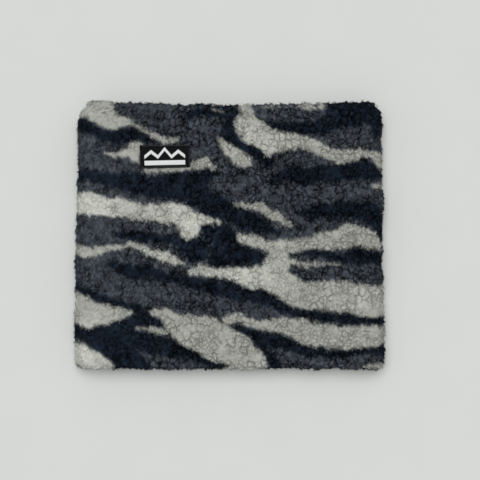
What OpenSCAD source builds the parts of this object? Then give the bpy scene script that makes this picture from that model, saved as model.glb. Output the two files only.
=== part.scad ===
// Neck gaiter lying flat: a pile fleece tube with turned hems, a brushed lining
// inside it, the sewing threads that hold the two together, and a sewn patch.
// X runs across the flat tube, Y along it towards the upper hem, Z up.

/* [Body] */
// Width across the flat tube at its lower hem
bottom_w = 284; // [250:1:330]
// Width across the flat tube at its upper hem
top_w = 277; // [240:1:320]
// Length of the tube from hem to hem
tube_l = 244; // [190:1:320]
// Thickness of the flat tube: two walls and the air between them
flat_t = 24; // [22:0.5:32]
// Radius of the corners, seen from above
corner_r = 16; // [14:1:20]

/* [Walls] */
// Thickness of the pile fleece shell
shell_t = 5.5; // [4.5:0.5:6.5]
// Thickness of the brushed lining
lining_t = 2.5; // [2:0.5:3]
// Depth to which the shell turns in at each hem
hem_depth = 8; // [7:0.5:10]

/* [Patch] */
// Width of the woven patch
patch_w = 46; // [30:1:60]
// Height of the woven patch
patch_h = 21; // [18:1:30]
// Thickness of the woven patch
patch_t = 1.6; // [1.4:0.1:2]
// Centre of the patch across the tube
patch_x = -58.5; // [-80:0.5:80]
// Centre of the patch along the tube
patch_y = 71; // [40:1:80]
// Turn of the patch, in degrees
patch_turn = 1.2; // [-3:0.1:3]

/* [Stitching] */
// Diameter of the sewing thread
thread_d = 0.7; // [0.5:0.05:0.8]
// Distance from one stitch to the next
stitch_pitch = 4; // [3:0.5:6]

/* [Side tab] */
// Width of the care tab along the side seam
tab_w = 28; // [20:1:40]
// Length of the folded care tab
tab_l = 14; // [10:1:16]

/* [Hidden] */
$fn = 96;

gap = 0.1;              // clearance between pieces that lie against each other
over = 1;               // how far a cutter runs past what it cuts
past_tangent = 0.4;     // keeps a corner's curve from only grazing the face it rounds
roll_step = 0.05;       // how far the rolled sides lie below the flat faces
half_l = tube_l / 2;
roll_r = flat_t / 2;
wall_t = shell_t + lining_t;
slot_half = top_w / 2 - 24;                 // half the width of the mouth at each hem
taper = atan2((bottom_w - top_w) / 2, tube_l);

// side seam: a groove on the rolled left side, and its stitches
seam_angle = 43;        // how far the seam sits above the tube's mid height
seam_w = 1.6;
seam_depth = 1.3;
seam_margin = 20;       // stitches stop this far short of each hem

// grooves that the lining's seam and the hem stitches lie in
groove_w = 1.2;
groove_depth = 0.8;
lining_seam_x = -(bottom_w / 2 - 18);

// recess in the pile that the patch lies in
recess_depth = 2.6;
patch_corner = 1.5;
patch_groove_in = 1.6;  // from the patch's edge to the middle of its stitches
patch_groove_w = 1;
patch_groove_depth = 0.5;
emblem_t = 0.5;

// care tab: one strip folded back on itself
tab_t = 1;
tab_slit = 0.4;
tab_y = -30;

shell_colour = "#7C7E7E";
lining_colour = "#23262E";
thread_colour = "#1C2028";
patch_colour = "#0B0C0E";
mark_colour = "#E6E8E8";
tab_colour = "#F0EFEA";

// half the width of the flat tube at a place along it
function half_at(y) = (bottom_w + (top_w - bottom_w) * (y + half_l) / tube_l) / 2;

// the flat tube as a solid, a stadium in section, with all its faces moved in by inset
module flat_tube(inset, end_inset) {
    r = roll_r - inset;
    keep_l = tube_l - 2 * end_inset;
    intersection() {
        union() {
            translate([0, 0, inset])
                linear_extrude(2 * r)
                    polygon([
                        [-half_at(-half_l) + roll_r, -half_l],
                        [half_at(-half_l) - roll_r, -half_l],
                        [half_at(half_l) - roll_r, half_l],
                        [-half_at(half_l) + roll_r, half_l]
                    ]);
            for (side = [-1, 1]) side_roll(side, r - roll_step);
        }
        translate([-bottom_w, -keep_l / 2, 0]) cube([2 * bottom_w, keep_l, flat_t]);
    }
}

// the rolled side of the flat tube: a cylinder that leans with the taper
module side_roll(side, r) {
    translate([side * half_at(0) - side * roll_r, 0, roll_r])
        rotate([0, 0, side * taper])
            rotate([90, 0, 0])
                cylinder(r = r, h = tube_l + 4 * over, center = true);
}

// what is cut away to round one corner of the plan
module corner_waste(sx, sy) {
    centre_y = half_l - corner_r + past_tangent;
    centre_x = half_at(sy * centre_y) - corner_r + past_tangent;
    block = corner_r + 2 * over;
    translate([sx * centre_x, sy * centre_y, -over])
        difference() {
            scale_corner(sx, sy) cube([block, block, flat_t + 2 * over]);
            translate([0, 0, -over]) cylinder(r = corner_r, h = flat_t + 4 * over);
        }
}

// points a block drawn in the first quadrant at any of the four corners
module scale_corner(sx, sy) {
    mirror([sx < 0 ? 1 : 0, 0, 0]) mirror([0, sy < 0 ? 1 : 0, 0]) children();
}

// the way through the tube, as wide as the mouth at each hem
module mouth() {
    translate([-slot_half, -half_l - over, wall_t])
        cube([2 * slot_half, tube_l + 2 * over, flat_t - 2 * wall_t]);
}

// places children on the left side roll, at the seam, with +Z pointing out of the pile
module at_seam() {
    translate([-half_at(0) + roll_r, 0, roll_r])
        rotate([0, 0, -taper])
            rotate([0, seam_angle - 90, 0])
                translate([0, 0, roll_r])
                    children();
}

// places children at the patch, at the bottom of its recess
module at_patch() {
    translate([patch_x, patch_y, flat_t - recess_depth])
        rotate([0, 0, patch_turn])
            children();
}

// a rectangle with round corners, centred
module round_plate(w, h, r, t) {
    linear_extrude(t) {
        square([w - 2 * r, h], center = true);
        square([w, h - 2 * r], center = true);
        for (sx = [-1, 1])
            for (sy = [-1, 1])
                translate([sx * (w / 2 - r), sy * (h / 2 - r)]) circle(r);
    }
}

// a row of stitches along X, centred, lying on the plane z = 0
module stitch_row(length) {
    count = floor(length / stitch_pitch);
    for (i = [0 : count - 1])
        translate([(i - (count - 1) / 2) * stitch_pitch, 0, thread_d / 2])
            rotate([0, 90, 0])
                cylinder(d = thread_d, h = stitch_pitch * 0.8, center = true, $fn = 16);
}

// the two grooves at a hem, where the turned shell meets the lining
module hem_grooves(end) {
    joint_y = end * (half_l - hem_depth);
    for (z = [wall_t - groove_depth, flat_t - wall_t])
        translate([-slot_half, joint_y - groove_w / 2, z])
            cube([2 * slot_half, groove_w, groove_depth]);
}

// stitches all along a hem, on the lower and the upper wall
module hem_stitches(end) {
    joint_y = end * (half_l - hem_depth);
    run = 2 * slot_half - 4;
    translate([0, joint_y, wall_t - groove_depth + gap / 2]) stitch_row(run);
    translate([0, joint_y, flat_t - wall_t + groove_depth - gap / 2])
        mirror([0, 0, 1])
            stitch_row(run);
}

module outer_shell() {
    color(shell_colour)
        difference() {
            flat_tube(0, 0);
            for (sx = [-1, 1])
                for (sy = [-1, 1])
                    corner_waste(sx, sy);
            flat_tube(shell_t, hem_depth);
            mouth();
            for (end = [-1, 1]) hem_grooves(end);
            at_seam()
                translate([-seam_w / 2, -tube_l, -seam_depth])
                    cube([seam_w, 2 * tube_l, 2 * seam_depth]);
            at_patch()
                round_plate(patch_w + 2 * gap, patch_h + 2 * gap, patch_corner, 2 * recess_depth);
        }
}

module lining() {
    color(lining_colour)
        difference() {
            flat_tube(shell_t + gap, hem_depth + gap);
            flat_tube(wall_t, hem_depth + lining_t);
            mouth();
            for (end = [-1, 1]) hem_grooves(end);
            translate([lining_seam_x - groove_w / 2, -half_l, wall_t - groove_depth])
                cube([groove_w, tube_l, 2 * groove_depth]);
        }
}

module outer_seam_thread() {
    color(thread_colour)
        at_seam()
            translate([0, 0, -seam_depth + gap / 2])
                rotate([0, 0, 90])
                    stitch_row(tube_l - 2 * seam_margin);
}

module lining_seam_thread() {
    color(thread_colour)
        translate([lining_seam_x, 0, wall_t - groove_depth + gap / 2])
            rotate([0, 0, 90])
                stitch_row(tube_l - 2 * seam_margin);
}

module top_hem_thread() {
    color(thread_colour) hem_stitches(1);
}

module bottom_hem_thread() {
    color(thread_colour) hem_stitches(-1);
}

module front_patch() {
    inner_w = patch_w - 2 * patch_groove_in;
    inner_h = patch_h - 2 * patch_groove_in;
    color(patch_colour)
        at_patch()
            difference() {
                round_plate(patch_w, patch_h, patch_corner, patch_t);
                translate([0, 0, patch_t - patch_groove_depth])
                    difference() {
                        translate([0, 0, over / 2])
                            cube([inner_w + patch_groove_w, inner_h + patch_groove_w, over],
                                 center = true);
                        translate([0, 0, over / 2])
                            cube([inner_w - patch_groove_w, inner_h - patch_groove_w, 2 * over],
                                 center = true);
                    }
            }
}

// a plain ridge line over a bar
module patch_emblem() {
    ridge_w = 0.80 * patch_w;
    peak_h = 0.34 * patch_h;
    half_line = 0.08 * patch_h;
    bar_h = 0.20 * patch_h;
    peaks = 3;
    step = ridge_w / (2 * peaks);
    heights = [for (i = [0 : 2 * peaks]) (i % 2 == 1) ? peak_h * (i == 3 ? 1 : 0.68) : 0];
    upper = [for (i = [0 : 2 * peaks]) [(i - peaks) * step, heights[i] + half_line]];
    lower = [for (i = [2 * peaks : -1 : 0]) [(i - peaks) * step, heights[i] - half_line]];
    color(mark_colour)
        at_patch()
            translate([0, 0, patch_t])
                linear_extrude(emblem_t) {
                    translate([0, -0.03 * patch_h]) polygon(concat(upper, lower));
                    translate([0, -0.28 * patch_h]) square([ridge_w, bar_h], center = true);
                }
}

module patch_thread() {
    run_w = patch_w - 2 * patch_groove_in;
    run_h = patch_h - 2 * patch_groove_in;
    color(thread_colour)
        at_patch()
            translate([0, 0, patch_t - patch_groove_depth + gap / 2]) {
                for (sy = [-1, 1])
                    translate([0, sy * run_h / 2, 0]) stitch_row(run_w - 1);
                for (sx = [-1, 1])
                    translate([sx * run_w / 2, 0, 0])
                        rotate([0, 0, 90])
                            stitch_row(run_h - 1);
            }
}

// a strip folded in two, its ends caught in the side seam
module care_label() {
    seam_x = -half_at(tab_y + tab_w / 2) + wall_t + gap;
    color(tab_colour)
        translate([seam_x, tab_y - tab_w / 2, roll_r - tab_t / 2])
            difference() {
                cube([tab_l, tab_w, tab_t]);
                translate([-over, -over, (tab_t - tab_slit) / 2])
                    cube([tab_l, tab_w + 2 * over, tab_slit]);
            }
}

outer_shell();
lining();
outer_seam_thread();
lining_seam_thread();
top_hem_thread();
bottom_hem_thread();
front_patch();
patch_emblem();
patch_thread();
care_label();
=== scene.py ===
"""A pile fleece neck gaiter lying flat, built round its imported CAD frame.

All sizes in the operators are millimetres; a mesh is turned to metres when it is made.
The fleece panel has its own coordinates: u runs round the tube from the middle of the
front, to the right, and v runs along it, over each hem and into the tube.
"""

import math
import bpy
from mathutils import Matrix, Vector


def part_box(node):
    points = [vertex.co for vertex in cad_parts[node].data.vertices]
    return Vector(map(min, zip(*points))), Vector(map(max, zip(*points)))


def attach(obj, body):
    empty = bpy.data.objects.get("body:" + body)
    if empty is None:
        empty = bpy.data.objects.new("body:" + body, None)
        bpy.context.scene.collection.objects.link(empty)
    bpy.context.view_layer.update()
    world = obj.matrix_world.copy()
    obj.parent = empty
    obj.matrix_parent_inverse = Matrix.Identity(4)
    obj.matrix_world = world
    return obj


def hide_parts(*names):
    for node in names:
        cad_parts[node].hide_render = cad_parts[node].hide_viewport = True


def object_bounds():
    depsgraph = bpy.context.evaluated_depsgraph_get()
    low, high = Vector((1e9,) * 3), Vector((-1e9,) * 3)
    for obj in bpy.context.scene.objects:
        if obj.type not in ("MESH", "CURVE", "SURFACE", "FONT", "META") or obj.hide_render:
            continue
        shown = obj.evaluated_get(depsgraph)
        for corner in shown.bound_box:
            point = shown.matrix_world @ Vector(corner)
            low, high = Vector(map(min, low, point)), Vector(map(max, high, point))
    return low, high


bl_info = {
    "name": "Pile Fleece Neck Gaiter",
    "version": (1, 0, 0),
    "blender": (4, 5, 0),
    "location": "3D View > Sidebar > Gaiter",
    "description": "Builds a printed pile fleece neck gaiter with its lining, threads and patch",
    "category": "Add Mesh",
}

import bpy
import numpy as np
from mathutils import Matrix, Vector

MM = 0.001
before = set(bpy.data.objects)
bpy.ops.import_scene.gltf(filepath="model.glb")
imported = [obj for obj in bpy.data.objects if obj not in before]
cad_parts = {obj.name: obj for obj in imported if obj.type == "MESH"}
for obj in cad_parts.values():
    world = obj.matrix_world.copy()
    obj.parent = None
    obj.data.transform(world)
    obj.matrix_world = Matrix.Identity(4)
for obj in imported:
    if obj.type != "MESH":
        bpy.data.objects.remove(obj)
CAD_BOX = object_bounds()
PATCH_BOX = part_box("front_patch")
TAB_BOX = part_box("care_label")

# Sizes in mm that a user has no need to set.
PILE_STANDS = 1.1  # how far the pile stands out past the panel at both hems
CORNER_RADII = {"upper": (20.0, 15.0), "lower": (8.0, 10.0)}  # left and right of each hem
FLOOR_GAP = 0.05  # the pile comes no nearer to the floor than this
# half the patch, across and along, less a margin where the pile rises again
PATCH_HALF = tuple(c / MM / 2 - 0.3 for c in (PATCH_BOX[1] - PATCH_BOX[0])[:2])
PATCH_SINK = 2.2  # how far the pile is pressed down under the patch
PATCH_REST = -1.9  # where the patch's underside lies, from the top of the pile
PATCH_BORDER = 0.35  # how far the patch's border stands over its ground
PATCH_STITCH = 3.2  # from one of the patch's stitches to the next
MARK_THICK = 0.75  # how thick the raised marks are
LINING_THICK = 1.8
LINING_LEVEL = 4.5  # how far the lining lies above and below the tube's middle height
HEM_LEVEL = 3.9  # how far from the middle height the hems' stitches lie
LINING_SEAM_LEVEL = 4.3  # and those of the lining's seam
OUTER_SEAM_SUNK = 3.2  # how deep the outer seam's stitches are pulled into the pile
PRINT_REACH = 190  # the print is drawn this far out from the middle of the front
PRINT_OVERRUN = 10  # how far the front's print runs on past the side seam
PRINT_STEP = 2.5  # how far the print is out of step where it meets itself
CLOTH_EDGES = (2.2, 2.4)  # half the soft edge of the light and the dark print, on the cloth
FIBRE_EDGES = (1.0, 1.5)  # and on the fibre ends

COLOUR_RANGE = (0.001, 0.95)  # the darkest and lightest that a colour may be

# The print. Each stroke is a line of (across, along, half width) points, in mm from the
# middle of the front, as a brush would have laid it down. Light lies over dark, and what
# neither covers is mid grey.
LIGHT_STROKES = (
    # corner patch and its tail
    ((-143, 114, 7), (-128, 117, 9), (-118, 109, 9), (-104, 102, 5.5), (-92, 103, 4), (-86, 100, 1.5),
     (-74, 93, 2), (-66, 89, 3), (-56, 89, 3), (-48, 90, 1)),
    # left of patch
    ((-113, 73, 1.5), (-100, 73, 2.5), (-90, 76, 5.5), (-86, 76, 8.5), (-85, 69, 4.5)),
    # below patch
    ((-76, 60, 2), (-53, 59, 2.5), (-37, 61, 3), (-28, 64, 4.5), (-21, 67, 4.5), (-16, 61, 3)),
    # short diagonal
    ((-10, 90, 1.5), (-3, 82, 5), (6, 73, 7), (13, 68, 6), (19, 64, 1.5)),
    # upper right fork
    ((13, 119, 4.5), (19, 112, 4.5), (16, 102, 11), (31, 90, 12), (35, 79, 6.5)),
    # upper right band
    ((22, 98, 8), (42, 87, 9.5), (58, 86, 7), (72, 83, 5), (86, 77, 5.5), (93, 74, 6.5),
     (103, 72, 6.5), (111, 72, 5.5), (121, 74, 4), (129, 72, 4.5), (139, 68, 8.5)),
    # top edge
    ((-17, 118, -0.6), (1, 115, -0.3)),
    # top edge right
    ((28, 120, 0), (44, 119, 0), (60, 120, 0.5), (74, 118, 2), (84, 117.5, 1.5), (93, 121, 0)),
    # left band
    ((-143, 28, 9), (-120, 26, 9.5), (-96, 24, 9.5), (-76, 21, 7.5), (-60, 19, 9), (-45, 19, 10),
     (-33, 15, 5.5), (-21, 13, 3.5), (-9, 10, 1)),
    # left band drip
    ((-41, 13, 8), (-39, 3, 7), (-33, 4, 7.5)),
    # thin diagonal
    ((5, 29, 1), (17, 27, 2.5), (28, 24, 4), (38, 18, 4.5), (46, 14, 4), (54, 10, 1)),
    # tongue
    ((12, -3, 4.5), (20, -5, 6.5), (32, -10, 5), (44, -16, 10), (42, -28, 12)),
    # upper arm
    ((38, -11, 5.5), (58, -9, 5.5), (72, -7, 5), (84, -6, 6.5), (95, -5, 8.5), (107, -1, 11),
     (117, -1, 9.5), (127, -5, 7), (136, -10, 2.5)),
    # middle band
    ((-35, -33, 1.5), (-25, -31, 4.5), (-9, -34, 4.5), (7, -36, 6.5), (20, -38, 9.5),
     (32, -38, 11.5), (44, -42, 13), (56, -51, 12), (68, -54, 13), (86, -54.5, 13), (105, -55, 13),
     (121, -59, 14), (145, -59, 14)),
    # thin line
    ((52, -24, 2), (64, -25, 1.5), (78, -26, 1.5), (100, -27, 0.5)),
    # left strip
    ((-143, -11, 5), (-131, -15, 5), (-118, -14, 3.5), (-106, -11, 2), (-94, -11, 1)),
    # left strip, lower
    ((-92, -8, 1), (-82, -12, 3), (-70, -16, 3), (-60, -20, 4), (-51, -23, 3), (-42, -25, 0.5)),
    # left wedge
    ((-143, -66, 14), (-126, -71, 11), (-112, -72, 8.5), (-96, -72, 4.5), (-87, -71, 0.5)),
    # lower left corner
    ((-143, -103, 8.5), (-132, -110, 11.5), (-124, -116, 10.5), (-112, -121, 7), (-101, -124, 2)),
    # lower band
    ((-68, -69, 2.5), (-58, -72, 4.5), (-49, -79, 8.5), (-37, -87, 15), (-21, -91, 17),
     (-7, -98, 16), (5, -103, 15), (15, -113, 15), (17, -125, 18)),
    # lower band tail
    ((-82, -85, 1), (-70, -86, 2), (-56, -88, 2.5)),
    # lower right band
    ((-5, -77, 2.5), (7, -74, 4), (22, -80, 4), (38, -83, 4.5), (50, -83, 8), (64, -85, 10),
     (78, -90, 9.5), (90, -93, 10.5), (103, -93.5, 10), (119, -91, 8.5), (145, -90.5, 7.5)),
    # lower right edge
    ((78, -122, 0.5), (101, -122, 1), (122, -122, 2), (136, -120, 4), (143, -118, 4)),
    # right edge
    ((133, 43, 1.5), (143, 45, 3)),
)
DARK_STROKES = (
    # upper left
    ((-141, 102, 7.5), (-128, 97, 5.5), (-116, 92, 5.5), (-102, 91, 6.5), (-88, 91, 6.5),
     (-76, 87, 5), (-65, 84, 1.5)),
    # top middle
    ((-45, 109, 2), (-29, 116, 4.5), (-9, 116, 6), (4, 111, 6.5), (0, 102, 7), (-2, 94, 6.5),
     (9, 86, 5.5), (20, 79, 5.5), (29, 72, 6), (35, 67, 6.5)),
    # upper right
    ((22, 112, 1.5), (34, 104, 3.5), (52, 99, 4.5), (68, 97, 5.5), (82, 99, 8.5), (99, 108, 12),
     (117, 112, 12), (133, 109, 10), (136, 94, 4.5)),
    # middle left
    ((-143, 54, 6), (-116, 52, 6), (-90, 47, 8.5), (-68, 43, 10.5), (-49, 45, 12), (-33, 47, 12),
     (-17, 55, 4.5)),
    # centre diagonal
    ((-37, 37, 10), (-17, 29, 11.5), (-1, 21, 11), (15, 13, 10), (30, 7, 6.5), (43, 2, 2)),
    # centre
    ((-21, 15, 9), (-13, 3, 12), (-3, -6, 11.5), (-9, -16, 11), (13, -19, 8.5), (26, -21, 5),
     (34, -23, 1)),
    # centre, to the left
    ((-102, 0, 3), (-86, -1, 5), (-66, -3, 4.5), (-45, -6, 5.5), (-29, -14, 11)),
    # right, upper
    ((39, 49, 3), (52, 55, 6.5), (68, 53, 8.5), (86, 55, 8.5), (105, 58, 9), (121, 59, 8.5),
     (141, 55, 6)),
    # right, middle
    ((58, 23, 1.5), (72, 21, 6.5), (86, 22, 8), (101, 24, 8.5), (117, 22, 8.5), (130, 19, 8.5),
     (136, 5, 6.5), (138, -8, 1.5)),
    # right tongue
    ((61, -14, 3), (72, -15, 4.5), (86, -18, 4.5), (99, -21, 4), (117, -21, 8), (131, -20, 6),
     (144, -23, 4)),
    # long diagonal
    ((-111, -25, 1.5), (-96, -30, 5), (-80, -33, 5.5), (-62, -37, 5), (-45, -40, 5), (-29, -44, 7),
     (-13, -49, 7), (22, -53, 8), (38, -58, 8), (48, -64, 7), (60, -69, 5.5), (74, -72, 4.5),
     (93, -75, 4.5), (109, -76, 6), (125, -78, 4.5), (145, -77, 4)),
    # left diagonal
    ((-143, -47, 4.5), (-126, -54, 4.5), (-110, -60, 4.5), (-94, -65, 4.5), (-82, -69, 6),
     (-76, -76, 7), (-68, -80, 6), (-57, -82, 3)),
    # lower left
    ((-143, -86, 6), (-126, -88, 7), (-108, -87, 9), (-92, -83, 8.5), (-82, -78, 7)),
    # lower left block
    ((-120, -95, 8.5), (-104, -103, 15), (-90, -113, 12), (-76, -124, 9)),
    # lower left run
    ((-88, -93, 10), (-70, -98, 9), (-53, -103, 8), (-37, -108, 7), (-21, -112, 6), (-9, -117, 5),
     (1, -123, 2)),
    # lower right
    ((-2, -84, 2.5), (9, -83, 3.5), (17, -88, 4.5), (28, -93, 7), (42, -97, 7), (58, -100, 6.5),
     (72, -103, 5.5), (88, -107, 4), (105, -106, 3.5), (121, -103, 5), (145, -102, 5.5)),
    # lower right end
    ((34, -109, 5), (44, -121, 4)),
    # tuft at the left edge
    ((-143, -23, 3), (-141, -26, 3)),
)


# ---------------------------------------------------------------- numbers and noise


def linear(hex_text):
    """A colour given as sRGB hex, as linear red, green and blue."""
    parts = [int(hex_text[i : i + 2], 16) / 255 for i in (1, 3, 5)]
    return tuple(c / 12.92 if c <= 0.04045 else ((c + 0.055) / 1.055) ** 2.4 for c in parts)


def smoothstep(low, high, x):
    """A smooth rise from 0 at low to 1 at high."""
    t = np.clip((x - low) / (high - low), 0, 1)
    return t * t * (3 - 2 * t)


def unit(vectors):
    """Directions of length one along the last axis."""
    return vectors / np.maximum(np.linalg.norm(vectors, axis=-1, keepdims=True), 1e-9)


def hashed(i, j, seed):
    """An even random number from 0 to 1 for each pair of whole numbers."""
    n = (i * 374761393 + j * 668265263 + seed * 974634777) & 0xFFFFFFFF
    n = ((n ^ (n >> 13)) * 1274126177) & 0xFFFFFFFF
    n = ((n ^ (n >> 15)) * 2246822519) & 0xFFFFFFFF
    return ((n ^ (n >> 16)) & 0xFFFFFF) / 0xFFFFFF


def noise(x, y, seed):
    """Smooth noise from -1 to 1 that changes over a distance of about one."""
    i, j = np.floor(x).astype(np.int64), np.floor(y).astype(np.int64)
    fx, fy = x - i, y - j
    fx, fy = fx * fx * (3 - 2 * fx), fy * fy * (3 - 2 * fy)
    low = hashed(i, j, seed) * (1 - fx) + hashed(i + 1, j, seed) * fx
    high = hashed(i, j + 1, seed) * (1 - fx) + hashed(i + 1, j + 1, seed) * fx
    return 2 * (low * (1 - fy) + high * fy) - 1


# ---------------------------------------------------------------- shape of the tube


class Tube:
    """The flat tube's surface, worked out from the CAD box and the body's sizes."""

    def __init__(self, body, pile):
        low, high = CAD_BOX
        self.half_l = (high.y - low.y) / 2 / MM - PILE_STANDS
        self.roll = (high.z - low.z) / 2 / MM
        self.hem_r = body.wall / 2 / MM
        self.upper_half = body.upper_width / 2 / MM
        self.lower_half = body.lower_width / 2 / MM
        self.sag = body.sag / MM
        self.dip = body.upper_dip / MM
        self.lip = body.hem_depth / MM
        self.relief = pile.relief / MM
        self.nub = pile.nub / MM
        # straight part of a quarter of the way round, and the way round
        self.flat = (self.upper_half + self.lower_half) / 2 - self.roll
        self.round = 4 * self.flat + 2 * math.pi * self.roll
        # straight length of the panel from its middle to where a hem starts to turn
        self.straight = self.half_l - self.hem_r
        self.hem_arc = math.pi * self.hem_r
        self.end_v = self.straight + self.hem_arc + self.lip
        # the side seam lies on the rolled left side, this far round it from the top
        self.seam_u = -(self.flat + math.radians(body.seam_turn) * self.roll)
        centre = (PATCH_BOX[0] + PATCH_BOX[1]) / 2
        self.patch_x, self.patch_y = centre.x / MM, centre.y / MM

    def unrolled(self, u):
        """The place round the tube, counted from a line on the underside near the seam."""
        start = self.seam_u - PRINT_OVERRUN
        return (u - start) % self.round + start

    def around(self, u):
        """The side, the share of the flat part, and the way out, for a place round the tube."""
        u = (u + self.round / 2) % self.round - self.round / 2
        side, far = np.where(u < 0, -1.0, 1.0), np.abs(u)
        turn = np.clip((far - self.flat) / self.roll, 0, math.pi)
        share = np.where(turn < math.pi, far / self.flat, (self.round / 2 - far) / self.flat)
        return side, np.clip(share, 0, 1), side * np.sin(turn), np.cos(turn)

    def along(self, v):
        """The end, how far the hem has turned, and the place along the tube."""
        end, far = np.where(v < 0, -1.0, 1.0), np.abs(v)
        turned = np.clip((far - self.straight) / self.hem_r, 0, math.pi)
        past = np.maximum(far - self.straight - self.hem_arc, 0)
        return end, turned, end * (np.minimum(far, self.straight) - past)

    def base(self, u, v, lift):
        """Points of the panel without its pile, and the directions out of it."""
        side, share, nx, nz = self.around(u)
        end, turned, y = self.along(v)
        over = np.abs(y) / self.half_l
        half = self.lower_half + (self.upper_half - self.lower_half) * (y / self.half_l + 1) / 2
        upper, lower = (np.where(side < 0, *CORNER_RADII[hem]) for hem in ("upper", "lower"))
        radius = np.where(y > 0, upper, lower)
        into = np.clip(np.abs(y) - (self.half_l - radius), 0, radius)
        corner = radius - np.sqrt(radius**2 - into**2)
        wave = 0.9 * noise(y / 27, 0 * y + side * 3, 11) + 0.4 * noise(y / 9, 0 * y + side * 5, 12)
        x = side * share * (half - self.roll - corner + wave * share)
        # the hems wander a little, and the upper one dips in the middle
        near_end = smoothstep(0.35, 1.0, over)
        across = np.clip(np.abs(x) / self.upper_half, 0, 1)
        shift = -self.dip * (1 - across**2) * (y > 0)
        shift = shift + 0.8 * noise(x / 24, 0 * x + end * 7 + nz * 0.3, 13)
        y = y + near_end * shift
        reach = self.hem_r + lift
        ny = np.sin(turned) * end
        out = np.cos(turned)
        x = x + nx * (self.roll - self.hem_r) + reach * out * nx
        z = self.roll + nz * (self.roll - self.hem_r) + reach * out * nz
        y = y + reach * ny
        # the upper wall sags between the rolled sides and lies a little unevenly
        centre = 1 - across**6
        droop = self.sag * centre + 0.5 * noise(x / 38, y / 38, 14) * centre
        z = z - np.clip(nz, 0, 1) * droop
        points = np.stack([x, y, z], -1)
        normals = np.stack([out * nx, ny, out * nz], -1)
        return points, normals

    def cells(self, u, v, size, seed):
        """How far each place is from the nearest and the second nearest of centres strewn
        about size mm apart, in sizes, and the nearest centre's own number."""
        count = round(self.round / size)
        gu, gv = u * count / self.round, v / (1.2 * size)
        iu, iv = np.floor(gu).astype(np.int64), np.floor(gv).astype(np.int64)
        first = np.full(gu.shape, 9.0)
        second = np.full(gu.shape, 9.0)
        own = np.zeros(gu.shape)
        for di in (-1, 0, 1):
            for dj in (-1, 0, 1):
                ci, cj = (iu + di) % count, iv + dj
                pu = iu + di + 0.5 + 0.9 * (hashed(ci, cj, seed) - 0.5)
                pv = iv + dj + 0.5 + 0.9 * (hashed(ci, cj, seed + 1) - 0.5)
                far = np.hypot(gu - pu, gv - pv)
                nearer = far < first
                second = np.where(nearer, first, np.minimum(second, far))
                own = np.where(nearer, hashed(ci, cj, seed + 2), own)
                first = np.where(nearer, far, first)
        return first, second - first, own

    def nubs(self, u, v):
        """The pile's height from 0 in a crack to 1 on a nub, and each nub's own number."""
        u = self.unrolled(u)
        wu = u + 1.3 * noise(u / 4, v / 4, 21) + 0.6 * noise(u / 1.4, v / 1.6, 22)
        wv = v + 1.3 * noise(u / 4, v / 4, 23) + 0.6 * noise(u / 1.4, v / 1.6, 24)
        # thin cracks part the pile into clumps, each of a few nubs with dimples between them
        _, clump_edge, _ = self.cells(wu, wv, 1.25 * self.nub, 31)
        first, nub_edge, own = self.cells(wu, wv, 0.62 * self.nub, 34)
        # the pile is brushed smoother towards the side seam
        brushed = smoothstep(-45, -120, np.minimum(u, 0)) * (u > -self.round / 4 - 5)
        open_crack = smoothstep(0.5, -0.4, noise(u / 6.5, v / 6.5, 25) + 0.6 * brushed)
        crack = open_crack * smoothstep(0.24, 0.02, clump_edge)
        open_dimple = smoothstep(0.9, -0.5, noise(u / 8, v / 8, 29) + 0.5 * brushed)
        dimple = open_dimple * smoothstep(0.4, 0.0, nub_edge)
        dome = 0.18 * np.clip(first / 0.8, 0, 1) ** 2
        combed = noise((0.47 * u + 0.88 * v) / 5, (0.88 * u - 0.47 * v) / 1.0, 30)
        curl = 0.08 * noise(u / 1.0, v / 1.3, 26) + 0.1 * noise(u / 2.1, v / 2.6, 27)
        curl = curl + 0.13 * brushed * combed
        height = 1.0 + 0.22 * (own - 0.5) + curl - dome - 0.75 * crack - 0.55 * dimple
        return np.clip(height, 0, 1.2), own

    def pile(self, u, v):
        """How far the pile's surface stands from the panel's, and how high each nub is."""
        u = self.unrolled(u)
        height, own = self.nubs(u, v)
        clumps = noise(u / 4.2, v / 5.5, 15) + 0.6 * noise(u / 2.2, v / 2.4, 16)
        _, _, _, nz = self.around(u)
        _, turned, _ = self.along(v)
        rim = smoothstep(0.85, 0.25, np.abs(nz * np.cos(turned)))
        tufts = rim * (0.3 * clumps + 0.8 * noise(u / 1.9, v / 1.9, 17))
        tufts = tufts + rim * 1.5 * np.abs(noise(u / 3.6, v / 3.6, 18))
        # one tuft stands out at the left edge
        tufts = tufts + 1.8 * np.exp(-(((v + 24) / 2.2) ** 2)) * rim * (u < 0)
        lift = self.relief * (height - 1) + 0.4 * clumps + tufts
        # the side seam draws the pile into a narrow groove
        gap = u - self.seam_u - 0.4 * noise(v / 14, 0 * v, 28)
        lift = lift - 0.2 * np.exp(-((gap / 0.8) ** 2)) - 0.3 * np.exp(-((gap / 5) ** 2))
        # the patch presses the pile flat under it
        px, py = np.abs(u - self.patch_x), np.abs(v - self.patch_y)
        half_w, half_h = PATCH_HALF
        inside = smoothstep(1.2, -0.2, px - half_w) * smoothstep(1.2, -0.2, py - half_h)
        lift = lift * (1 - inside) - PATCH_SINK * inside
        return lift, height, own

    def surface(self, u, v):
        """Points and outward directions of the pile's surface, with its nubs' heights."""
        lift, height, own = self.pile(u, v)
        points, normals = self.base(u, v, lift)
        points[..., 2] = np.maximum(points[..., 2], FLOOR_GAP)
        return points, normals, height, own

    def print_place(self, u, v):
        """Where a place on the panel is in the print: the print runs on over the right
        side and round the back, and meets itself a little out of step under the side seam."""
        side, share, nx, _ = self.around(u)
        past = self.unrolled(u) - self.round / 4
        behind = np.clip(past / (0.5 * self.round), 0, 1)
        drift = np.sin(math.pi * behind)
        x = side * share * self.flat + nx * self.roll - 30 * drift
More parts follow.
